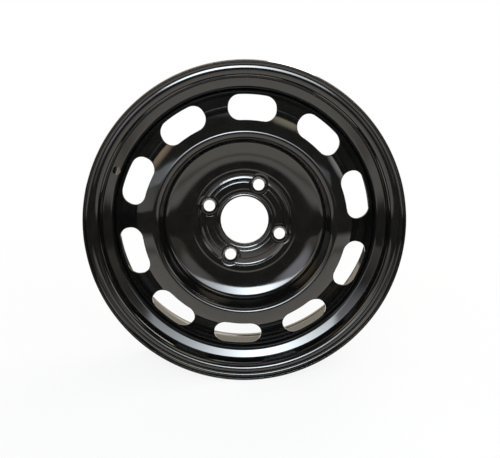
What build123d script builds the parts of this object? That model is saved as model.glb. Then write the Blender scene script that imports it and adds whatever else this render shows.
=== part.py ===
"""A pressed-steel car wheel: a rolled rim, a vented disc pressed into its drop well, and the seams between them.

The wheel turns about Y. Its front, the side that faces away from the car, is towards -Y, and +Z is up.
The origin is on the axis, halfway between the two bead flanges.
"""

import os
from math import atan2, cos, hypot, radians, sin, tan

from build123d import *

# Rim section, as the tyre side of the sheet; a bend is its inside radius
rim_sheet = 2.5
rim_width = 152.4
bead_seat_diameter = 405.6
bead_seat_taper = 5.0
bead_seat_width = 17.0
flange_height = 17.7
flange_width = 13.0
flange_curl_radius = 7.5
flange_corner_radius = 7.5
flange_lean = 6.0
lip_droop = 15.0
hump_height = 1.3
hump_width = 8.0
hump_bend = 3.0
well_depth = 17.3
well_setback = 30.2
well_width = 44.0
well_bend = 7.0
front_slope_angle = 23.0
rear_slope_angle = 29.0
rear_ledge_bend = 9.5

# Valve hole, through the front slope of the well
valve_hole_diameter = 11.5
valve_hole_clock = 158.0
valve_hole_height = 7.2

# Disc section, as the front of the sheet; a bend is its inside radius
disc_sheet = 3.8
wheel_offset = 32.0
hub_land_radius = 63.5
hub_step = 2.2
hub_step_run = 3.0
hub_step_bend = 2.0
dish_floor_angle = 3.0
dish_bowl_run = 18.5
dish_bowl_angle = 22.0
dish_bowl_flat = 1.4
dish_foot_bend = 9.0
dish_wall_run = 5.3
crown_setback = 1.6
crown_radius = 126.0
crown_run = 8.2
crown_inner_bend = 4.2
cone_angle = 36.0
cone_bend = 19.7
shoulder_bend = 6.2
skirt_length = 22.5
skirt_gap = 0.05

# Hub face
centre_bore_diameter = 68.0
collar_radius = 39.0
collar_height = 2.2
collar_bend = 1.6
ridge_inner_radius = 44.5
ridge_outer_radius = 55.5
ridge_height = 1.8
ridge_bend = 0.9
bolt_count = 4
bolt_circle_diameter = 108.0
bolt_clock = 68.0
bolt_hole_diameter = 16.0
bolt_seat_diameter = 21.0
bolt_seat_angle = 60.0
bolt_pocket_diameter = 28.0
boss_diameter = 25.4
boss_height = 2.0
boss_taper = 25.0

# Vents, pierced through the cone along the axis
vent_count = 10
vent_clock = 86.25
vent_radius = 158.9
vent_length = 66.4
vent_height = 35.0
vent_inner_bend = 16.2
vent_outer_bend = 16.0

# Seams between skirt and well
seam_count = 4
seam_clock = 45.0
seam_arc = 58.0
seam_leg = 3.6
seam_run = 5.0
seam_fullness = 0.56


def on_wheel(radius, depth, clock):
    """The point at a radius, a depth along the axis and a clock angle, as seen from the front."""
    angle = radians(clock)
    return Vector(radius * cos(angle), depth, radius * sin(angle))


def facing(radius, depth, clock, tilt):
    """A plane on the wheel that faces forward, leaning outward by a tilt, with its y direction outward."""
    angle = radians(clock)
    outward = Vector(cos(angle), 0, sin(angle))
    forward = Vector(0, -1, 0)
    normal = forward * cos(radians(tilt)) + outward * sin(radians(tilt))
    around = normal.cross(outward)
    return Plane(origin=on_wheel(radius, depth, clock), x_dir=around * -1, z_dir=normal)


def bent_sheet(corners, bends, sheet):
    """Draws the section of a bent sheet: one side through its corners, the other side to the left of it."""
    points = [Vector(*corner) for corner in corners]
    sides = [(end - start).normalized().rotate(Axis.Z, 90) for start, end in zip(points, points[1:])]
    turns = list(zip(sides, sides[1:]))
    steps = [(before + after) / (1 + before.dot(after)) for before, after in turns]
    others = [point + step * sheet for point, step in zip(points, [sides[0], *steps, sides[-1]])]
    widths = [sheet if before.cross(after).Z > 0 else 0 for before, after in turns]
    line = FilletPolyline(*points, radius=[bend + width for bend, width in zip(bends, widths)])
    other = FilletPolyline(*others, radius=[bend + sheet - width for bend, width in zip(bends, widths)])
    Line(line @ 0, other @ 0)
    Line(line @ 1, other @ 1)


# Rim: the tyre side from the front lip to the rear lip, then the sheet's thickness towards the axis
half_width = rim_width / 2
seat_radius = bead_seat_diameter / 2
flange_radius = seat_radius + flange_height
well_radius = seat_radius - well_depth
well_inner_radius = well_radius - rim_sheet
well_front = well_setback - half_width
well_rear = well_front + well_width
seat_fall = bead_seat_width * tan(radians(bead_seat_taper))
ledge_radius = seat_radius - seat_fall
hump_rear = half_width - bead_seat_width - hump_width
curl_depth = half_width + flange_curl_radius
flange_depth = half_width + flange_width
droop = radians(lip_droop)
lean = radians(flange_lean)
lean_back = (flange_radius - flange_curl_radius - seat_radius) * tan(lean)
curl_reach = flange_width + lean_back - flange_curl_radius * (1 / cos(lean) + sin(droop))
lip_radius = flange_radius - flange_curl_radius * (1 - cos(droop)) - curl_reach * tan(droop)
curl_rise = (lip_radius - seat_radius + flange_width * tan(droop)) / (1 - tan(lean) * tan(droop))
slope_drop = ledge_radius - well_radius
front_slope_run = (slope_drop + hump_height) * tan(radians(front_slope_angle))
rear_slope_run = slope_drop / tan(radians(rear_slope_angle))

flange_half = [
    (lip_radius, flange_depth),
    (seat_radius + curl_rise, half_width - curl_rise * tan(lean)),
    (seat_radius, half_width),
    (ledge_radius, half_width - bead_seat_width),
    (ledge_radius + hump_height, hump_rear + hump_width / 2),
    (ledge_radius, hump_rear),
]
flange_bends = [flange_curl_radius - rim_sheet, flange_corner_radius, hump_bend, hump_bend]
front_half = [(radius, -depth) for radius, depth in flange_half[:4]]
front_half.append((ledge_radius + hump_height, well_front - front_slope_run))
rear_half = list(reversed(flange_half))
well_corners = [(well_radius, well_front), (well_radius, well_rear), (ledge_radius, well_rear + rear_slope_run)]
rim_corners = front_half + well_corners + rear_half
rim_bends = flange_bends + [well_bend, well_bend, rear_ledge_bend, hump_bend] + flange_bends[::-1]

valve_depth = well_front - valve_hole_height * tan(radians(front_slope_angle))
valve_plane = facing(well_radius + valve_hole_height, valve_depth, valve_hole_clock, -front_slope_angle)

with BuildPart() as rim:
    with BuildSketch(Plane.XY):
        with BuildLine():
            bent_sheet(rim_corners, rim_bends, rim_sheet)
        make_face()
    revolve(axis=Axis.Y)
    with BuildSketch(valve_plane):
        Circle(valve_hole_diameter / 2)
    extrude(amount=4 * rim_sheet, both=True, mode=Mode.SUBTRACT)

# Disc: the front of the sheet from the bore to the rear of the skirt, then the sheet's thickness rearward
bore_radius = centre_bore_diameter / 2
hub_front = -wheel_offset - disc_sheet
floor_start = hub_land_radius + hub_step_run
floor_front = hub_front - hub_step
crown_front = crown_setback - curl_depth
crown_corner = crown_radius - crown_run
foot_radius = crown_corner - dish_wall_run
bowl_rise = dish_bowl_run * tan(radians(dish_bowl_angle))
bowl_radius = foot_radius - dish_bowl_run
bowl_front = floor_front - (bowl_radius - floor_start) * tan(radians(dish_floor_angle))
foot_front = bowl_front - bowl_rise
wall_angle = atan2(foot_front - crown_front, dish_wall_run)
foot_reach = dish_foot_bend * tan((wall_angle - radians(dish_bowl_angle)) / 2)
bowl_reach = hypot(dish_bowl_run, bowl_rise) - foot_reach - dish_bowl_flat
bowl_bend = bowl_reach / tan(radians(dish_bowl_angle - dish_floor_angle) / 2)
cone_corner = crown_radius + (cone_bend + disc_sheet) * tan(radians(cone_angle / 2))
cone_rise = tan(radians(cone_angle))
skirt_radius = well_inner_radius - skirt_gap
shoulder_front = crown_front + (skirt_radius - cone_corner) * cone_rise
skirt_end = shoulder_front + skirt_length

disc_corners = [
    (bore_radius, hub_front),
    (hub_land_radius, hub_front),
    (floor_start, floor_front),
    (bowl_radius, bowl_front),
    (foot_radius, foot_front),
    (crown_corner, crown_front),
    (cone_corner, crown_front),
    (skirt_radius, shoulder_front),
    (skirt_radius, skirt_end),
]
disc_bends = [
    hub_step_bend,
    hub_step_bend,
    bowl_bend,
    dish_foot_bend,
    crown_inner_bend,
    cone_bend,
    shoulder_bend,
]
hub_plane = Plane(origin=(0, hub_front, 0), x_dir=(1, 0, 0), z_dir=(0, -1, 0))
boss_plane = hub_plane.offset(boss_height)
bolt_ring = (bolt_circle_diameter / 2, bolt_count, bolt_clock)

vent_depth = crown_front + (vent_radius - cone_corner) * cone_rise
vent_clocks = [vent_clock + 360 / vent_count * k for k in range(vent_count)]
vent_planes = [facing(vent_radius, vent_depth, clock, 0) for clock in vent_clocks]


def vent_edge(side):
    """One long edge of a vent, concentric with the wheel: side -1 is the inner edge and 1 the outer."""
    edge_radius = vent_radius + side * vent_height / 2
    end = (edge_radius**2 - (vent_length / 2) ** 2) ** 0.5 - vent_radius
    middle = side * vent_height / 2
    return ThreePointArc((-vent_length / 2, end), (0, middle), (vent_length / 2, end))


with BuildPart() as disc:
    with BuildSketch(Plane.XY):
        with BuildLine():
            bent_sheet(disc_corners, disc_bends, disc_sheet)
        make_face()
        with Locations(((bore_radius + collar_radius) / 2, hub_front)):
            RectangleRounded(collar_radius - bore_radius, 2 * collar_height, collar_bend)
        with Locations(((ridge_inner_radius + ridge_outer_radius) / 2, hub_front)):
            RectangleRounded(ridge_outer_radius - ridge_inner_radius, 2 * ridge_height, ridge_bend)
    revolve(axis=Axis.Y)
    with BuildSketch(hub_plane):
        with PolarLocations(*bolt_ring):
            Circle(bolt_pocket_diameter / 2)
    extrude(amount=2 * boss_height, mode=Mode.SUBTRACT)
    with BuildSketch(hub_plane):
        with PolarLocations(*bolt_ring):
            Circle(boss_diameter / 2)
    extrude(amount=boss_height, taper=boss_taper)
    with Locations(boss_plane):
        with PolarLocations(*bolt_ring):
            CounterSinkHole(bolt_hole_diameter / 2, bolt_seat_diameter / 2, counter_sink_angle=bolt_seat_angle)
    with BuildSketch(*vent_planes):
        with BuildLine():
            inner = vent_edge(-1)
            outer = vent_edge(1)
            Line(inner @ 0, outer @ 0)
            Line(inner @ 1, outer @ 1)
        make_face()
        fillet(vertices().group_by(Axis.Y)[0], vent_inner_bend)
        fillet(vertices().group_by(Axis.Y)[-1], vent_outer_bend)
    extrude(amount=vent_height, both=True, mode=Mode.SUBTRACT)

# Seams: a fillet bead on the rear edge of the skirt, in the corner it makes with the well
seam_clocks = [seam_clock + seam_arc / 2 + 360 / seam_count * k for k in range(seam_count)]
seam_planes = [Plane(origin=(0, 0, 0), x_dir=on_wheel(1, 0, c), z_dir=on_wheel(1, 0, c + 90)) for c in seam_clocks]

with BuildPart() as weld_seams:
    with BuildSketch(*seam_planes):
        with BuildLine():
            Polyline(
                (well_inner_radius - seam_leg, skirt_end),
                (well_inner_radius, skirt_end),
                (well_inner_radius, skirt_end + seam_run),
            )
            ThreePointArc(
                (well_inner_radius, skirt_end + seam_run),
                (well_inner_radius - seam_leg * seam_fullness, skirt_end + seam_run * seam_fullness),
                (well_inner_radius - seam_leg, skirt_end),
            )
        make_face()
    revolve(axis=Axis.Y, revolution_arc=seam_arc)

rim.part.label = "rim"
disc.part.label = "disc"
weld_seams.part.label = "weld_seams"

os.makedirs("parts", exist_ok=True)
export_step(rim.part, "parts/rim.step")
export_step(disc.part, "parts/disc.step")
export_step(weld_seams.part, "parts/weld_seams.step")
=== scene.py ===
"""Looks of a pressed-steel car wheel in black enamel: the rolled rim, the vented disc and their seams."""

from math import atan2, cos, degrees, hypot, pi, radians, sin, sqrt, tan

import bpy
from mathutils import Matrix, Vector


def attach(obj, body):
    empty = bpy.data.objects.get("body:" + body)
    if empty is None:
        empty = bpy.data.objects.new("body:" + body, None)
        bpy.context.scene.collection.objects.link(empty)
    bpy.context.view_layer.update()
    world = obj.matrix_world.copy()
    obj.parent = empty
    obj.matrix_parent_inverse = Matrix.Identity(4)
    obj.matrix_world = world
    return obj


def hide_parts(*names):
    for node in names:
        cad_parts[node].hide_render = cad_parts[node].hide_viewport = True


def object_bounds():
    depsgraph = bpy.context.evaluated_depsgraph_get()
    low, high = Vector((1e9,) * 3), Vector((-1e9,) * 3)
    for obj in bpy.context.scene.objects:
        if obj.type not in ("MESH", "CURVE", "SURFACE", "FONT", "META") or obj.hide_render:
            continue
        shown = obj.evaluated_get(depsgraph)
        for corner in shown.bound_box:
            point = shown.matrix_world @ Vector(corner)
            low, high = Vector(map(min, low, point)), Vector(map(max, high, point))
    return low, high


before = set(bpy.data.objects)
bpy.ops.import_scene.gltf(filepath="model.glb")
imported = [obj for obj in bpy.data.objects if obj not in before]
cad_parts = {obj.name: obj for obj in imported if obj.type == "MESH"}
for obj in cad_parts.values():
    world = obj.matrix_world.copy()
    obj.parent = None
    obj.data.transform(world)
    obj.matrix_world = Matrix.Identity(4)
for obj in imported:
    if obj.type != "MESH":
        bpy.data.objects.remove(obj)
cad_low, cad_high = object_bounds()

# The wheel's sizes are in millimetres and degrees, and a depth below zero lies towards its front
MM = 0.001

# Rim sheet, tyre side
RIM_SHEET = 2.5
HALF_WIDTH = 76.2
SEAT_RADIUS = 202.8
SEAT_TAPER = 5.0
SEAT_WIDTH = 17.0
FLANGE_HEIGHT = 17.7
FLANGE_WIDTH = 13.0
FLANGE_CURL = 7.5
FLANGE_CORNER = 7.5
FLANGE_LEAN = 6.0
LIP_DROOP = 15.0
HUMP_HEIGHT = 1.3
HUMP_WIDTH = 8.0
HUMP_BEND = 3.0
WELL_DEPTH = 17.3
WELL_FRONT = -46.0
WELL_REAR = -2.0
WELL_BEND = 7.0
FRONT_SLOPE = 23.0
REAR_SLOPE = 29.0
REAR_LEDGE_BEND = 9.5
VALVE_HOLE = 11.5
VALVE_CLOCK = 158.0
VALVE_HEIGHT = 7.2

# Disc sheet, front side
DISC_SHEET = 3.8
HUB_FRONT = -35.8
HUB_LAND = 63.5
HUB_STEP = 2.2
HUB_STEP_RUN = 3.0
HUB_STEP_BEND = 2.0
FLOOR_START = HUB_LAND + HUB_STEP_RUN
FLOOR_FRONT = HUB_FRONT - HUB_STEP
FLOOR_ANGLE = 3.0
BOWL_RUN = 18.5
BOWL_ANGLE = 22.0
BOWL_BEND = 80.0
FOOT_BEND = 9.0
WALL_RUN = 5.3
CROWN_FRONT = -82.1
CROWN_RADIUS = 126.0
CROWN_RUN = 8.2
CROWN_BEND = 4.2
CROWN_PEAK = 126.5
CROWN_FALL = 21.0
CROWN_OUTER_BEND = 56.0
CONE_ANGLE = 36.0
CONE_BEND = 19.7
SHOULDER_BEND = 6.2
SKIRT_RADIUS = 182.95
SKIRT_LENGTH = 22.5
EDGE_ROUND = 0.5

# Hub relief: heights stand in front of the hub face
BORE_RADIUS = 34.0
LIP_OUTER = 37.3
LIP_HEIGHT = 1.7
TRENCH = (38.3, 38.8)
TRENCH_HEIGHT = 0.2
TRENCH_BEND = 0.4
LAND_HEIGHT = 0.5
LAND_BEND = 2.0
PAD_INNER = 43.3
PAD_INNER_RUN = 0.7
PAD_OUTER = 56.0
PAD_OUTER_RUN = 1.1
PAD_HEIGHT = 1.82
PAD_FOOT_BEND = 0.5
PAD_SIDE_BEND = 0.7
GROOVE = (62.3, 62.9)
GROOVE_BEND = 1.0
STEP_RADIUS = 66.2
OUTWARD_FACE = 12.0
INWARD_FACE = 15.5
FACE_RUN = 1.2
CREST_BEND = 1.5
RIDGE_BEND = 0.8
CREASE_RADIUS = 73.6
CREASE_HEIGHT = 0.25
CREASE_RUN = 2.2
CREASE_BEND = 5.0

# Bolt seats: the boss's rounded top is given as steps out from its top and down from it
BOLT_COUNT = 4
BOLT_CIRCLE = 54.0
BOLT_CLOCK = 68.0
BOLT_HOLE = 8.0
BOLT_SEAT = 10.5
SEAT_ANGLE = 60.0
SEAT_EASE = (0.3, 0.2)
SEAT_FLARE = 1.0
HOLE_REACH = 8.0
POCKET_RADIUS = 13.4
POCKET_FLARE = ((0, 0), (0.2, 0.7), (0.5, 1.2), (1.0, 1.6), (1.8, 1.95), (3.2, 2.4), (5.0, 3.2))
BOSS_RADIUS = 12.7
BOSS_HEIGHT = 2.0
BOSS_TAPER = 25.0
BOSS_ROOT = 1.5
BOSS_TOP = ((0.4, 0.55), (0.0, 0.15), (-0.5, 0.0))

# Vents
VENT_COUNT = 10
VENT_CLOCK = 86.25
VENT_RADIUS = 158.9
VENT_LENGTH = 66.4
VENT_HEIGHT = 35.0
VENT_INNER_BEND = 16.2
VENT_OUTER_BEND = 16.0
VENT_ZONE = (138.0, 180.0)
VENT_EDGE = 0.6

# Seams
SEAM_COUNT = 4
SEAM_CLOCK = 45.0
SEAM_ARC = 58.0
SEAM_LEG = 3.6
SEAM_RUN = 5.0
SEAM_FULLNESS = 0.56
SEAM_STEPS = 232
SEAM_TAPER = (0.35, 0.62, 0.8, 0.91, 0.97)
SEAM_CLEAR = 0.2
RIPPLE = 0.14
RIPPLE_STEPS = 4

# Fineness of the meshes
RIM_ROUND_STEPS = 240
DISC_ROUND_STEPS = 360
BOLT_ROUND_STEPS = 72
VALVE_ROUND_STEPS = 64
RIM_BEND_STEP = 5.0
DISC_BEND_STEP = 7.0
RIM_RUN_STEP = 25.0
DISC_RUN_STEP = 5.0
VENT_ARC_STEPS = 12
SEAM_ARC_STEPS = 8
VENT_EDGE_STEPS = 3
MERGE_REACH = 0.01
PUNCH_MERGE_REACH = 0.1
SHARP_ANGLE = 30.0
SMOOTH_ANGLE = 32.0
SEAM_SMOOTH_ANGLE = 50.0

# Enamel: each cloud is a noise's scale and detail, each bump a strength and a height in metres
ENAMEL_IOR = 1.57
ENAMEL_ROUGHNESS = (0.05, 0.09)
GLOSS_CLOUD = (16.0, 4.0)
GLOSS_SPAN = (0.3, 0.7)
DUST_CLOUD = (60.0, 8.0)
DUST_TINTS = ((0.35, (0.0026, 0.0025, 0.0025)), (0.8, (0.0058, 0.0055, 0.0050)))
PEEL_CLOUD = (380.0, 2.0)
PEEL_BUMP = (0.05, 0.0001)
WAVE_CLOUD = (45.0, 1.0)
WAVE_BUMP = (0.03, 0.0006)

# Floor, in metres: how white the camera sees it with distance, and a painted glow it shows only in the gloss:
# a pool of light near the wheel with a darker ring, and dark far off
FLOOR_SIZE = 12
FLOOR_TINT = (0.86, 0.855, 0.84, 1)
FLOOR_ROUGHNESS = 0.9
FLOOR_FADE = (0.3, 1.5)
FLOOR_SHARE = (0.86, 1.0)
FLOOR_PAINTED_GLOW = 1.4
FLOOR_PAINTED_GLOW_REACH = 2.0
FLOOR_PAINTED_GLOW_TINTS = (
    (0.27, (1.0, 0.94, 0.86)),
    (0.32, (0.55, 0.5, 0.44)),
    (0.37, (0.95, 0.89, 0.82)),
    (0.46, (0.95, 0.9, 0.84)),
    (0.56, (0.075, 0.07, 0.063)),
)

# Room in the gloss: its colour from front to back, and soft patches by side, height, spread and colour
ROOM_LIGHT = (0.5, 0.5, 0.5, 1)
ROOM_TINTS = ((0.55, (0.10, 0.095, 0.085)), (0.85, (0.80, 0.72, 0.58)))
ROOM_GLOWS = (
    (180, 84, 34, (1.3, 1.36, 1.5)),
    (-72, 33, 18, (2.6, 2.0, 1.35)),
    (76, 24, 16, (2.6, 2.55, 2.5)),
    (56, 59, 17, (2.3, 2.15, 1.6)),
    (-20, 11, 12, (2.4, 2.4, 2.7)),
    (20, 11, 11, (1.0, 0.96, 0.9)),
    (-27, -6, 16, (0.6, 0.55, 0.48)),
    (30, -6, 22, (0.35, 0.31, 0.25)),
    (-60, 0, 28, (0.9, 0.88, 0.85)),
)

# Lamps and camera, in metres and degrees
LAMP_REACH = 2.4
KEY_HEART = 0.088
KEY_EDGES = ((0.07, 0.0), (0.13, 1.0), (0.72, 1.0), (0.82, 0.25), (0.9, 0.06), (1.0, 0.0))
CAMERA_PLACE = (-0.0162, -1.0574, 0.1436)
CAMERA_TURN = (81.28, 0, -1.34)
CAMERA_LENS = 52.03
CAMERA_SENSOR = 36
CAMERA_NEAREST = 0.01


def pick(piece):
    """Selects one piece alone and makes it the active one."""
    bpy.ops.object.select_all(action="DESELECT")
    bpy.context.view_layer.objects.active = piece
    piece.select_set(True)


def start_edit():
    """Goes into edit mode."""
    bpy.ops.object.mode_set(mode="EDIT")


def finish_edit():
    """Leaves edit mode."""
    bpy.ops.object.mode_set(mode="OBJECT")


def begin(name):
    """Starts a piece as one selected vertex at the origin, in edit mode."""
    bpy.ops.object.select_all(action="DESELECT")
    bpy.ops.mesh.primitive_plane_add(size=MM)
    piece = bpy.context.object
    piece.name = name
    start_edit()
    bpy.ops.mesh.select_mode(type="VERT")
    bpy.ops.mesh.select_all(action="SELECT")
    bpy.ops.mesh.merge(type="CENTER")
    return piece


def move_to(start, end):
    """Moves the selected vertex."""
    bpy.ops.transform.translate(value=((end[0] - start[0]) * MM, (end[1] - start[1]) * MM, 0))


def draw_to(start, end):
    """Draws a straight run from the selected vertex."""
    step = ((end[0] - start[0]) * MM, (end[1] - start[1]) * MM, 0)
    bpy.ops.mesh.extrude_region_move(TRANSFORM_OT_translate={"value": step})


def draw_run(start, end, run_step):
    """Draws a straight run in steps short enough to shade evenly."""
    steps = max(1, round((end - start).length / run_step))
    points = [start.lerp(end, step / steps) for step in range(steps + 1)]
    for one, two in zip(points, points[1:]):
        draw_to(one, two)


def draw_arc(centre, turn, steps):
    """Draws an arc from the selected vertex round a centre, by a turn in degrees."""
    middle = (centre[0] * MM, centre[1] * MM, 0)
    bpy.ops.mesh.spin(steps=steps, angle=-radians(turn), center=middle, axis=(0, 0, 1))


def draw_bend(centre, turn, bend_step):
    """Draws an arc in steps of about one turn each."""
    draw_arc(centre, turn, max(2, round(abs(turn) / bend_step)))


def draw_section(corners, bends, run_step, bend_step):
    """Draws a closed section through its corners, each with its own bend, in steps of run and of turn."""
    points = [Vector(corner) for corner in corners]
    count = len(points)
    here = None
    first = None
    for index, point in enumerate(points):
        before = (point - points[index - 1]).normalized()
        after = (points[(index + 1) % count] - point).normalized()
        turn = atan2(before.x * after.y - before.y * after.x, before.dot(after))
        reach = bends[index] * abs(tan(turn / 2))
        start = point - before * reach
        end = point + after * reach
        if here is None:
            move_to((0, 0), start)
            first = start
        else:
            draw_run(here, start, run_step)
        if bends[index] > 0:
            side = 1 if turn > 0 else -1
            across = Vector((-before.y, before.x)) * side
            draw_bend(start + across * bends[index], degrees(turn), bend_step)
        here = end
    draw_run(here, first, run_step)


def offset_corners(corners, sheet):
    """The corners of a sheet's other side, to the left of its line."""
    points = [Vector(corner) for corner in corners]
    sides = []
    for start, end in zip(points, points[1:]):
        along = (end - start).normalized()
        sides.append(Vector((-along.y, along.x)))
    steps = [sides[0]]
    steps += [(one + two) / (1 + one.dot(two)) for one, two in zip(sides, sides[1:])]
    steps.append(sides[-1])
    return [point + step * sheet for point, step in zip(points, steps)]


def side_bends(corners, bends, sheet, left):
    """Bend radii on one side of a sheet, from its inside radii."""
    points = [Vector(corner) for corner in corners]
    result = []
    for before, point, after, bend in zip(points, points[1:], points[2:], bends):
        one = point - before
        two = after - point
        turns_left = one.x * two.y - one.y * two.x > 0
        result.append(bend if turns_left == left else bend + sheet)
    return result


def merge_doubles():
    """Merges the points of the mesh that lie together."""
    bpy.ops.mesh.select_all(action="SELECT")
    bpy.ops.mesh.remove_doubles(threshold=MERGE_REACH * MM)


def close_up():
    """Merges doubles and turns the faces outward."""
    merge_doubles()
    bpy.ops.mesh.normals_make_consistent(inside=False)


def turn_round(steps):
    """Spins the drawn section about the drawing's upright axis and closes it."""
    bpy.ops.mesh.select_all(action="SELECT")
    bpy.ops.mesh.spin(steps=steps, angle=2 * pi, center=(0, 0, 0), axis=(0, 1, 0))
    close_up()


def repeat_round(count):
    """Repeats the active piece's mesh round the wheel's axis."""
    start_edit()
    bpy.ops.mesh.select_all(action="SELECT")
    sweep = 2 * pi * (count - 1) / count
    bpy.ops.mesh.spin(steps=count - 1, dupli=True, angle=sweep, center=(0, 0, 0), axis=(0, 1, 0))
    close_up()
    finish_edit()


def cut(piece, cutter, operation="DIFFERENCE"):
    """Cuts one piece by another, or joins them, and merges doubles, so the next cut meets a closed mesh."""
    pick(piece)
    boolean = piece.modifiers.new("cut", "BOOLEAN")
    boolean.operation = operation
    boolean.solver = "EXACT"
    boolean.object = cutter
    bpy.ops.object.modifier_apply(modifier=boolean.name)
    bpy.data.objects.remove(cutter, do_unlink=True)
    start_edit()
    merge_doubles()
    finish_edit()


def smooth(piece, angle):
    """Shades a piece smooth, with its sharp edges kept."""
    pick(piece)
    bpy.ops.object.shade_smooth_by_angle(angle=radians(angle))
    weighted = piece.modifiers.new("even_shading", "WEIGHTED_NORMAL")
    weighted.keep_sharp = True
    bpy.ops.object.modifier_apply(modifier=weighted.name)


def plane_on_wheel(radius, depth, clock, tilt):
    """A plane that faces forward and leans outward by a tilt: directions around, up and out, and its spot."""
    angle = radians(clock)
    outward = Vector((cos(angle), 0, sin(angle)))
    forward = Vector((0, -1, 0))
    normal = forward * cos(radians(tilt)) + outward * sin(radians(tilt))
    around = normal.cross(outward).normalized() * -1
    up = normal.cross(around)
    spot = Vector((radius * cos(angle), depth, radius * sin(angle))) * MM
    return around, up, normal, spot


def lay_mesh(piece, around, up, normal, spot):
    """Moves a drawn mesh onto a plane of the wheel, with its place in its mesh."""
    columns = Matrix((around, up, normal)).transposed().to_4x4()
    columns.translation = spot
    pick(piece)
    piece.matrix_world = columns
    bpy.ops.object.transform_apply(location=True, rotation=True, scale=True)


def rim_line():
    """The corners of the rim's sheet on the tyre side, from the front lip to the rear one."""
    flange = SEAT_RADIUS + FLANGE_HEIGHT
    well = SEAT_RADIUS - WELL_DEPTH
    ledge = SEAT_RADIUS - SEAT_WIDTH * tan(radians(SEAT_TAPER))
    droop = radians(LIP_DROOP)
    lean = radians(FLANGE_LEAN)
    lean_back = (flange - FLANGE_CURL - SEAT_RADIUS) * tan(lean)
    reach = FLANGE_WIDTH + lean_back - FLANGE_CURL * (1 / cos(lean) + sin(droop))
    lip = flange - FLANGE_CURL * (1 - cos(droop)) - reach * tan(droop)
    curl_rise = (lip - SEAT_RADIUS + FLANGE_WIDTH * tan(droop)) / (1 - tan(lean) * tan(droop))
    hump_rear = HALF_WIDTH - SEAT_WIDTH - HUMP_WIDTH
    drop = ledge - well
    half = [
        (lip, HALF_WIDTH + FLANGE_WIDTH),
        (SEAT_RADIUS + curl_rise, HALF_WIDTH - curl_rise * tan(lean)),
        (SEAT_RADIUS, HALF_WIDTH),
        (ledge, HALF_WIDTH - SEAT_WIDTH),
        (ledge + HUMP_HEIGHT, hump_rear + HUMP_WIDTH / 2),
        (ledge, hump_rear),
    ]
    front = [(radius, -depth) for radius, depth in half[:4]]
    front.append((ledge + HUMP_HEIGHT, WELL_FRONT - (drop + HUMP_HEIGHT) * tan(radians(FRONT_SLOPE))))
    middle = [(well, WELL_FRONT), (well, WELL_REAR), (ledge, WELL_REAR + drop / tan(radians(REAR_SLOPE)))]
    return front + middle + half[::-1]


def make_rim():
    """The rim: lips, flanges, bead seats, humps and drop well from one sheet, and the valve hole."""
    line = rim_line()
    end_bends = [FLANGE_CURL - RIM_SHEET, FLANGE_CORNER, HUMP_BEND, HUMP_BEND]
    bends = end_bends + [WELL_BEND, WELL_BEND, REAR_LEDGE_BEND, HUMP_BEND] + end_bends[::-1]
    other = offset_corners(line, RIM_SHEET)
    line_bends = [EDGE_ROUND] + side_bends(line, bends, RIM_SHEET, False) + [EDGE_ROUND]
    other_bends = [EDGE_ROUND] + side_bends(line, bends, RIM_SHEET, True) + [EDGE_ROUND]
    rim = begin("wheel_rim")
    draw_section(line + other[::-1], line_bends + other_bends[::-1], RIM_RUN_STEP, RIM_BEND_STEP)
    turn_round(RIM_ROUND_STEPS)
    finish_edit()
    cut(rim, valve_drill())
    smooth(rim, SMOOTH_ANGLE)
    return rim


def valve_drill():
    """The drill for the valve hole, square to the well's front slope."""
    radius = SEAT_RADIUS - WELL_DEPTH + VALVE_HEIGHT
    depth = WELL_FRONT - VALVE_HEIGHT * tan(radians(FRONT_SLOPE))
    bpy.ops.object.select_all(action="DESELECT")
    length = 4 * RIM_SHEET * MM
    bpy.ops.mesh.primitive_cylinder_add(vertices=VALVE_ROUND_STEPS, radius=VALVE_HOLE / 2 * MM, depth=length)
    drill = bpy.context.object
    lay_mesh(drill, *plane_on_wheel(radius, depth, VALVE_CLOCK, -FRONT_SLOPE))
    return drill


def cone_corner():
    """The radius where the cone's straight line meets the crown's front."""
    return CROWN_RADIUS + (CONE_BEND + DISC_SHEET) * tan(radians(CONE_ANGLE / 2))


def cone_front(radius):
    """The depth of the cone's straight line at a radius."""
    return CROWN_FRONT + (radius - cone_corner()) * tan(radians(CONE_ANGLE))


def hub_line():
    """The corners of the hub's plain front: the bore's edge, the land's edge and the floor's start."""
    return [(BORE_RADIUS, HUB_FRONT), (HUB_LAND, HUB_FRONT), (FLOOR_START, FLOOR_FRONT)]


def dish_line():
    """The corners of the disc's front from the dish floor over the crown to the skirt's edge."""
    crown_corner = CROWN_RADIUS - CROWN_RUN
    foot = crown_corner - WALL_RUN
    bowl = foot - BOWL_RUN
    bowl_front = FLOOR_FRONT - (bowl - FLOOR_START) * tan(radians(FLOOR_ANGLE))
    foot_front = bowl_front - BOWL_RUN * tan(radians(BOWL_ANGLE))
    rise = tan(radians(CONE_ANGLE))
    fall = tan(radians(CROWN_FALL))
    wall_lean = WALL_RUN / (foot_front - CROWN_FRONT)
    nose = (crown_corner + wall_lean * fall * CROWN_PEAK) / (1 + wall_lean * fall)
    brow = (cone_corner() * rise - CROWN_PEAK * fall) / (rise - fall)
    shoulder = cone_front(SKIRT_RADIUS)
    return [
        (bowl, bowl_front),
        (foot, foot_front),
        (nose, CROWN_FRONT + (nose - CROWN_PEAK) * fall),
        (brow, CROWN_FRONT + (brow - CROWN_PEAK) * fall),
        (SKIRT_RADIUS, shoulder),
        (SKIRT_RADIUS, shoulder + SKIRT_LENGTH),
    ]


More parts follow.
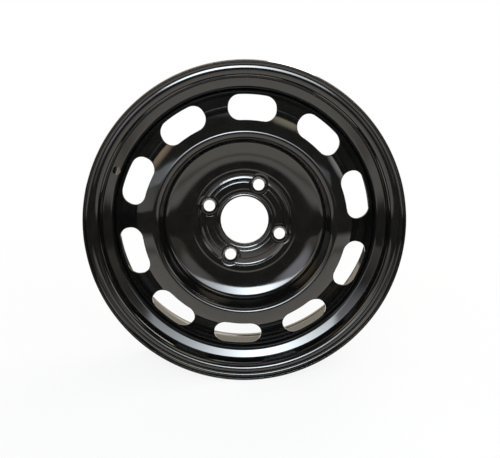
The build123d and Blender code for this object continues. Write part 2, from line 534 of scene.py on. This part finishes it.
def hub_relief():
    """The hub's pressed front, as corners with bends: bore lip, trench, pads, groove, step and crease."""
    fall = tan(radians(FLOOR_ANGLE))
    crease_front = FLOOR_FRONT - (CREASE_RADIUS - FLOOR_START) * fall
    dip = FACE_RUN * tan(radians(OUTWARD_FACE))
    lift = FACE_RUN * tan(radians(INWARD_FACE))
    pad_start = PAD_INNER + PAD_INNER_RUN
    pad_end = PAD_OUTER - PAD_OUTER_RUN
    groove_height = LAND_HEIGHT - 2 * dip
    relief = [
        (BORE_RADIUS, LIP_HEIGHT, RIDGE_BEND),
        (LIP_OUTER - FACE_RUN, LIP_HEIGHT, CREST_BEND),
        (LIP_OUTER, LIP_HEIGHT - dip, RIDGE_BEND),
        (TRENCH[0], TRENCH_HEIGHT, TRENCH_BEND),
        (TRENCH[1], TRENCH_HEIGHT, TRENCH_BEND),
        (TRENCH[1] + FACE_RUN, TRENCH_HEIGHT + lift, CREST_BEND),
        (PAD_INNER, LAND_HEIGHT, PAD_FOOT_BEND),
        (pad_start, PAD_HEIGHT - lift, PAD_SIDE_BEND),
        (pad_start + FACE_RUN, PAD_HEIGHT, CREST_BEND),
        (pad_end - FACE_RUN, PAD_HEIGHT, CREST_BEND),
        (pad_end, PAD_HEIGHT - dip, RIDGE_BEND),
        (PAD_OUTER, LAND_HEIGHT, PAD_SIDE_BEND),
        (GROOVE[0] - 2 * FACE_RUN, LAND_HEIGHT, LAND_BEND),
        (GROOVE[0], groove_height, RIDGE_BEND),
        (GROOVE[1], groove_height, RIDGE_BEND),
        (GROOVE[1] + FACE_RUN, groove_height + lift, GROOVE_BEND),
        (STEP_RADIUS, HUB_STEP, CREST_BEND),
    ]
    crease = [
        (CREASE_RADIUS - CREASE_RUN, crease_front + CREASE_RUN * fall, CREASE_BEND),
        (CREASE_RADIUS, crease_front - CREASE_HEIGHT, CREASE_BEND),
        (CREASE_RADIUS + CREASE_RUN, crease_front - CREASE_RUN * fall, CREASE_BEND),
    ]
    return [(radius, HUB_FRONT - height, bend) for radius, height, bend in relief] + crease


def make_disc():
    """The disc: bored hub face, dish, crown, vented cone, shoulder and skirt from one sheet."""
    plain_hub = hub_line()
    dish = dish_line()
    line = plain_hub + dish
    hub_bends = [HUB_STEP_BEND, HUB_STEP_BEND]
    bends = hub_bends + [BOWL_BEND, FOOT_BEND, CROWN_BEND, CROWN_OUTER_BEND, SHOULDER_BEND]
    rear = offset_corners(line, DISC_SHEET)
    front_bends = side_bends(line, bends, DISC_SHEET, False) + [EDGE_ROUND]
    rear_bends = [EDGE_ROUND] + side_bends(line, bends, DISC_SHEET, True) + [EDGE_ROUND]
    hub = hub_relief()
    corners = [(radius, depth) for radius, depth, bend in hub] + dish + rear[::-1]
    section_bends = [bend for radius, depth, bend in hub] + front_bends[len(hub_bends):] + rear_bends[::-1]
    disc = begin("wheel_disc")
    draw_section(corners, section_bends, DISC_RUN_STEP, DISC_BEND_STEP)
    turn_round(DISC_ROUND_STEPS)
    finish_edit()
    cut(disc, vent_punches())
    form_bolt_seats(disc)
    round_edges(disc, *VENT_ZONE, VENT_EDGE)
    smooth(disc, SMOOTH_ANGLE)
    return disc


def form_bolt_seats(disc):
    """Sinks a pocket at each bolt, raises a boss in it and cuts the taper seat and the hole."""
    pocket = [(POCKET_RADIUS + out, rise) for out, rise in POCKET_FLARE]
    cut(disc, bolt_tools("pockets", pocket))

    top = BOSS_RADIUS - BOSS_HEIGHT * tan(radians(BOSS_TAPER))
    boss = [(BOSS_RADIUS, -BOSS_ROOT), (BOSS_RADIUS, 0)]
    boss += [(top + out, BOSS_HEIGHT - down) for out, down in BOSS_TOP]
    cut(disc, bolt_tools("bosses", boss), "UNION")

    widening = tan(radians(SEAT_ANGLE / 2))
    seat_foot = BOSS_HEIGHT - (BOLT_SEAT - BOLT_HOLE) / widening
    below, ease = SEAT_EASE
    seat = [
        (BOLT_HOLE, -HOLE_REACH),
        (BOLT_HOLE, seat_foot - below),
        (BOLT_HOLE + ease, seat_foot + ease),
        (BOLT_SEAT + SEAT_FLARE * widening, BOSS_HEIGHT + SEAT_FLARE),
    ]
    cut(disc, bolt_tools("seats", seat))


def bolt_tools(name, steps):
    """Round tools on the bolts' axes: steps give their radii and heights in front of the hub face."""
    tools = begin(name)
    path = [(0, steps[0][1])] + steps + [(0, steps[-1][1])]
    move_to((0, 0), path[0])
    for start, end in zip(path, path[1:]):
        draw_to(start, end)
    turn_round(BOLT_ROUND_STEPS)
    finish_edit()
    around, up, normal, spot = plane_on_wheel(BOLT_CIRCLE, HUB_FRONT, BOLT_CLOCK, 0)
    lay_mesh(tools, around, normal, normal.cross(around) * -1, spot)
    repeat_round(BOLT_COUNT)
    return tools


def vent_punches():
    """The punches for the vents: two edges concentric with the wheel, straight ends and rounded corners."""
    half = VENT_LENGTH / 2
    inner = VENT_RADIUS - VENT_HEIGHT / 2
    outer = VENT_RADIUS + VENT_HEIGHT / 2
    axis = (0, -VENT_RADIUS)
    low_x = half - VENT_INNER_BEND
    low_y = sqrt((inner + VENT_INNER_BEND) ** 2 - low_x**2) - VENT_RADIUS
    high_x = half - VENT_OUTER_BEND
    high_y = sqrt((outer - VENT_OUTER_BEND) ** 2 - high_x**2) - VENT_RADIUS
    low_swing = degrees(atan2(low_x, low_y + VENT_RADIUS))
    high_swing = degrees(atan2(high_x, high_y + VENT_RADIUS))
    punches = begin("vent_punches")
    move_to((0, 0), (half, low_y))
    draw_to((half, low_y), (half, high_y))
    draw_bend((high_x, high_y), 90 - high_swing, DISC_BEND_STEP)
    draw_arc(axis, 2 * high_swing, VENT_ARC_STEPS)
    draw_bend((-high_x, high_y), 90 - high_swing, DISC_BEND_STEP)
    draw_to((-half, high_y), (-half, low_y))
    draw_bend((-low_x, low_y), 90 + low_swing, DISC_BEND_STEP)
    draw_arc(axis, -2 * low_swing, VENT_ARC_STEPS)
    draw_bend((low_x, low_y), 90 + low_swing, DISC_BEND_STEP)
    merge_doubles()
    bpy.ops.mesh.select_all(action="SELECT")
    bpy.ops.transform.translate(value=(0, 0, -VENT_HEIGHT * MM))
    bpy.ops.mesh.edge_face_add()
    bpy.ops.mesh.extrude_region_move(TRANSFORM_OT_translate={"value": (0, 0, 2 * VENT_HEIGHT * MM)})
    close_up()
    finish_edit()
    lay_mesh(punches, *plane_on_wheel(VENT_RADIUS, cone_front(VENT_RADIUS), VENT_CLOCK, 0))
    repeat_round(VENT_COUNT)
    return punches


def round_edges(piece, low, high, width):
    """Rounds the sharp edges that lie between two radii."""
    pick(piece)
    start_edit()
    bpy.ops.mesh.select_mode(type="EDGE")
    bpy.ops.mesh.select_all(action="SELECT")
    bpy.ops.mesh.remove_doubles(threshold=PUNCH_MERGE_REACH * MM)
    bpy.ops.mesh.select_all(action="DESELECT")
    bpy.ops.mesh.edges_select_sharp(sharpness=radians(SHARP_ANGLE))
    finish_edit()
    points = piece.data.vertices
    edges = piece.data.edges
    inside = [low < hypot(point.co.x, point.co.z) / MM < high for point in points]
    chosen = [edge for edge in edges if edge.select and all(inside[corner] for corner in edge.vertices)]
    for part in (points, edges, piece.data.polygons):
        part.foreach_set("select", [False] * len(part))
    for edge in chosen:
        edge.select = True
        for corner in edge.vertices:
            points[corner].select = True
    start_edit()
    bpy.ops.mesh.bevel(offset=width * MM, segments=VENT_EDGE_STEPS, affect="EDGES", clamp_overlap=False)
    finish_edit()


def make_seams():
    """The seams: fillet beads with ripples, in the corner of the skirt's rear edge and the well."""
    root = SEAT_RADIUS - WELL_DEPTH - RIM_SHEET
    edge = cone_front(SKIRT_RADIUS) + SKIRT_LENGTH
    foot = Vector((root - SEAM_LEG, edge))
    toe = Vector((root, edge + SEAM_RUN))
    crest = Vector((root - SEAM_LEG * SEAM_FULLNESS, edge + SEAM_RUN * SEAM_FULLNESS))
    chord = toe - foot
    across = Vector((chord.y, -chord.x)).normalized()
    bulge = abs((crest - foot).dot(across))
    curve = (chord.length**2 / 4 + bulge**2) / (2 * bulge)
    outward = across if (crest - foot).dot(across) > 0 else -across
    centre = (foot + toe) / 2 + outward * (bulge - curve)
    sweep = 2 * degrees(atan2(chord.length / 2, curve - bulge))
    side = 1 if (toe - centre).cross(foot - centre) > 0 else -1
    seams = begin("rim_to_disc_seams")
    move_to((0, 0), foot)
    draw_to(foot, (root, edge))
    draw_to((root, edge), toe)
    draw_arc(centre, side * sweep, SEAM_ARC_STEPS)
    merge_doubles()
    bpy.ops.mesh.select_all(action="SELECT")
    bpy.ops.mesh.spin(steps=SEAM_STEPS, angle=radians(SEAM_ARC), center=(0, 0, 0), axis=(0, 1, 0))
    bpy.ops.mesh.select_all(action="SELECT")
    bpy.ops.mesh.fill_holes(sides=0)
    close_up()
    finish_edit()
    shape_seam(seams, root, edge)
    middle = sum(clock_of(point) for point in seams.data.vertices) / len(seams.data.vertices)
    seams.rotation_euler = (0, middle - radians(SEAM_CLOCK), 0)
    bpy.ops.object.transform_apply(location=True, rotation=True, scale=True)
    repeat_round(SEAM_COUNT)
    smooth(seams, SEAM_SMOOTH_ANGLE)
    return seams


def clock_of(point):
    """The clock angle of a mesh point round the wheel's axis."""
    return atan2(point.co.z, point.co.x)


def select_points(piece, chosen):
    """Goes into edit mode with the points that a test chooses."""
    start_edit()
    bpy.ops.mesh.select_mode(type="VERT")
    bpy.ops.mesh.select_all(action="DESELECT")
    finish_edit()
    for point in piece.data.vertices:
        point.select = chosen(point)
    start_edit()


def shape_seam(seam, root, edge):
    """Gives one bead its ripples and tapers its two ends."""
    step = radians(SEAM_ARC / SEAM_STEPS)

    def ring(point):
        return round(abs(clock_of(point)) / step)

    def free(point):
        inside = hypot(point.co.x, point.co.z) < (root - SEAM_CLEAR) * MM
        return inside and point.co.y > (edge + SEAM_CLEAR) * MM

    for phase, swell in ((0, RIPPLE), (RIPPLE_STEPS // 2, -RIPPLE)):
        select_points(seam, lambda point: free(point) and ring(point) % RIPPLE_STEPS == phase)
        bpy.ops.transform.shrink_fatten(value=swell * MM)
        finish_edit()
    for index, share in enumerate(SEAM_TAPER):
        for place in (index, SEAM_STEPS - index):
            select_points(seam, lambda point: ring(point) == place)
            finish_edit()
            clock = [clock_of(point) for point in seam.data.vertices if point.select][0]
            corner = Vector((root * cos(clock), edge, root * sin(clock))) * MM
            start_edit()
            bpy.ops.transform.resize(value=(share, share, share), center_override=corner)
            finish_edit()


def add_node(tree, kind, inputs, operation=None):
    """Adds a node and fills its inputs, each with a value or a link."""
    node = tree.nodes.new(kind)
    if operation:
        node.operation = operation
    for name, value in inputs.items():
        if isinstance(value, bpy.types.NodeSocket):
            tree.links.new(value, node.inputs[name])
        else:
            node.inputs[name].default_value = value
    return node


def map_range(tree, value, span, result, interpolation="LINEAR"):
    """Maps a value from one span to another."""
    names = ("From Min", "From Max", "To Min", "To Max")
    inputs = {"Value": value, **dict(zip(names, (*span, *result)))}
    node = add_node(tree, "ShaderNodeMapRange", inputs)
    node.interpolation_type = interpolation
    return node.outputs["Result"]


def ramp(tree, value, stops):
    """Maps a value to the colours of a ramp's stops, given from first to last."""
    node = add_node(tree, "ShaderNodeValToRGB", {"Fac": value})
    elements = node.color_ramp.elements
    for element, (position, colour) in ((elements[0], stops[0]), (elements[1], stops[-1])):
        element.position = position
        element.color = (*colour, 1)
    for position, colour in stops[1:-1]:
        elements.new(position).color = (*colour, 1)
    return node.outputs["Color"]


def mix_shaders(tree, share, first, second):
    """Mixes two shaders by the second one's share."""
    inputs = {"Fac": share, 1: first.outputs[0], 2: second.outputs[0]}
    return add_node(tree, "ShaderNodeMixShader", inputs)


def seen_directly(tree, path):
    """One for rays from the camera, and for those that pass through glass."""
    rays = {0: path["Is Camera Ray"], 1: path["Is Transmission Ray"]}
    return add_node(tree, "ShaderNodeMath", rays, "MAXIMUM").outputs[0]


def enamel():
    """Gloss black enamel on steel: faint orange peel, slow waves, uneven gloss and a breath of dust."""
    material = bpy.data.materials.new("black_enamel_look")
    material.use_nodes = True
    tree = material.node_tree
    shader = tree.nodes["Principled BSDF"]
    shader.inputs["IOR"].default_value = ENAMEL_IOR
    place = tree.nodes.new("ShaderNodeTexCoord").outputs["Object"]

    def noise(scale, detail):
        inputs = {"Scale": scale, "Detail": detail, "Vector": place}
        return add_node(tree, "ShaderNodeTexNoise", inputs).outputs["Fac"]

    def bump(strength, distance, height):
        inputs = {"Strength": strength, "Distance": distance, "Height": height}
        return add_node(tree, "ShaderNodeBump", inputs)

    gloss = map_range(tree, noise(*GLOSS_CLOUD), GLOSS_SPAN, ENAMEL_ROUGHNESS)
    tree.links.new(gloss, shader.inputs["Roughness"])
    tree.links.new(ramp(tree, noise(*DUST_CLOUD), DUST_TINTS), shader.inputs["Base Color"])
    peel = bump(*PEEL_BUMP, noise(*PEEL_CLOUD))
    waves = bump(*WAVE_BUMP, noise(*WAVE_CLOUD))
    tree.links.new(peel.outputs["Normal"], waves.inputs["Normal"])
    tree.links.new(waves.outputs["Normal"], shader.inputs["Normal"])
    return material


def pale_floor():
    """A pale matt floor: near white to the camera, with the shadow; in the gloss a painted glow in place of
    light, pale near, with a darker ring, and dark far off.
    """
    material = bpy.data.materials.new("pale_floor")
    material.use_nodes = True
    tree = material.node_tree
    matt = tree.nodes["Principled BSDF"]
    matt.inputs["Base Color"].default_value = FLOOR_TINT
    matt.inputs["Roughness"].default_value = FLOOR_ROUGHNESS
    path = tree.nodes.new("ShaderNodeLightPath").outputs
    place = tree.nodes.new("ShaderNodeTexCoord").outputs["Object"]
    away = add_node(tree, "ShaderNodeVectorMath", {0: place}, "LENGTH").outputs["Value"]

    # Painted light: in the gloss the floor glows as a pale pool near the wheel, with a darker ring, and is
    # dark far off
    reach = map_range(tree, away, (0.0, FLOOR_PAINTED_GLOW_REACH), (0.0, 1.0))
    painted_glow_inputs = {"Strength": FLOOR_PAINTED_GLOW, "Color": ramp(tree, reach, FLOOR_PAINTED_GLOW_TINTS)}
    painted_glow = add_node(tree, "ShaderNodeEmission", painted_glow_inputs)
    lit = mix_shaders(tree, path["Is Glossy Ray"], matt, painted_glow)

    white = add_node(tree, "ShaderNodeEmission", {"Strength": 1.0})
    fade = map_range(tree, away, FLOOR_FADE, FLOOR_SHARE)
    share = add_node(tree, "ShaderNodeMath", {0: seen_directly(tree, path), 1: fade}, "MULTIPLY")
    final = mix_shaders(tree, share.outputs[0], lit, white)
    tree.links.new(final.outputs[0], tree.nodes["Material Output"].inputs["Surface"])
    return material


def make_floor():
    """The floor that the wheel stands on."""
    bpy.ops.object.select_all(action="DESELECT")
    bpy.ops.mesh.primitive_plane_add(size=FLOOR_SIZE, location=(0, 0, cad_low.z))
    floor = bpy.context.object
    floor.name = "floor"
    floor.data.materials.append(pale_floor())


def make_surround():
    """White to the camera; in the gloss a room, dim in front, warm behind, with soft patches; else grey."""
    world = bpy.data.worlds.new("studio")
    bpy.context.scene.world = world
    world.use_nodes = True
    tree = world.node_tree
    soft = tree.nodes["Background"]
    soft.inputs["Color"].default_value = ROOM_LIGHT
    soft.inputs["Strength"].default_value = 1.0
    white = add_node(tree, "ShaderNodeBackground", {"Color": (1, 1, 1, 1), "Strength": 1.0})
    path = tree.nodes.new("ShaderNodeLightPath").outputs
    place = tree.nodes.new("ShaderNodeTexCoord").outputs["Generated"]

    axes = add_node(tree, "ShaderNodeSeparateXYZ", {0: place})
    from_front = map_range(tree, axes.outputs["Y"], (-1.0, 1.0), (0.0, 1.0))
    total = ramp(tree, from_front, ROOM_TINTS)
    for side, height, spread, colour in ROOM_GLOWS:
        aim = add_node(tree, "ShaderNodeVectorMath", {0: place, 1: aim_at(side, height)}, "DOT_PRODUCT")
        span = (cos(radians(spread)), 1.0)
        soft_edge = map_range(tree, aim.outputs["Value"], span, (0.0, 1.0), "SMOOTHSTEP")
        tint = add_node(tree, "ShaderNodeVectorMath", {0: soft_edge, 1: colour}, "MULTIPLY")
        joined = add_node(tree, "ShaderNodeVectorMath", {0: total, 1: tint.outputs["Vector"]}, "ADD")
        total = joined.outputs["Vector"]
    room = add_node(tree, "ShaderNodeBackground", {"Color": total, "Strength": 1.0})

    lit = mix_shaders(tree, path["Is Glossy Ray"], soft, room)
    final = mix_shaders(tree, seen_directly(tree, path), lit, white)
    tree.links.new(final.outputs[0], tree.nodes["World Output"].inputs["Surface"])


def aim_at(side, height):
    """The direction from the wheel at a side angle and a height angle."""
    flat = cos(radians(height))
    return Vector((flat * sin(radians(side)), -flat * cos(radians(side)), sin(radians(height))))


def soft_box(name, side, height, wide, tall, level, colour):
    """A soft box at side and height angles from the wheel, as wide and tall as its angles, at a level."""
    spot = aim_at(side, height) * LAMP_REACH
    bpy.ops.object.light_add(type="AREA", location=spot)
    lamp = bpy.context.object
    lamp.name = name
    lamp.data.shape = "RECTANGLE"
    lamp.data.size = 2 * LAMP_REACH * tan(radians(wide / 2))
    lamp.data.size_y = 2 * LAMP_REACH * tan(radians(tall / 2))
    lamp.data.energy = level * pi * lamp.data.size * lamp.data.size_y
    lamp.data.color = colour
    lamp.rotation_euler = (-spot).to_track_quat("-Z", "Y").to_euler()
    return lamp


def soften(lamp):
    """Lets a lamp fall off from its middle towards its ends, with soft upper and lower edges."""
    lamp.data.use_nodes = True
    tree = lamp.data.node_tree
    geometry = tree.nodes.new("ShaderNodeNewGeometry")
    place = add_node(tree, "ShaderNodeSeparateXYZ", {0: geometry.outputs["Parametric"]}).outputs

    def figure(operation, first, second):
        return add_node(tree, "ShaderNodeMath", {0: first, 1: second}, operation).outputs[0]

    across = figure("DIVIDE", figure("SUBTRACT", place["X"], 0.5), KEY_HEART)
    ends = figure("DIVIDE", 1.0, figure("ADD", figure("MULTIPLY", across, across), 1.0))
    edges = ramp(tree, place["Y"], [(position, (share, share, share)) for position, share in KEY_EDGES])
    tree.links.new(figure("MULTIPLY", ends, edges), tree.nodes["Emission"].inputs["Strength"])


def make_lights():
    """A long low front key, hottest in its middle, and a soft light for the back."""
    key = soft_box("key", side=-4, height=22.5, wide=100, tall=18, level=26, colour=(0.86, 0.94, 1.0))
    soften(key)
    soft_box("back_box", side=150, height=38, wide=40, tall=26, level=5, colour=(1.0, 0.98, 0.95))


def make_camera():
    """The camera at the photograph's place."""
    turn = [radians(angle) for angle in CAMERA_TURN]
    bpy.ops.object.camera_add(location=CAMERA_PLACE, rotation=turn)
    camera = bpy.context.object
    camera.data.lens = CAMERA_LENS
    camera.data.sensor_width = CAMERA_SENSOR
    camera.data.clip_start = CAMERA_NEAREST
    bpy.context.scene.camera = camera


look = enamel()
pieces = {"rim": make_rim(), "disc": make_disc(), "weld_seams": make_seams()}
for node, piece in pieces.items():
    piece.data.materials.clear()
    piece.data.materials.append(look)
    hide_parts(node)
    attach(piece, "root")
make_floor()
make_surround()
make_lights()
make_camera()
bpy.context.scene.view_settings.view_transform = "Standard"
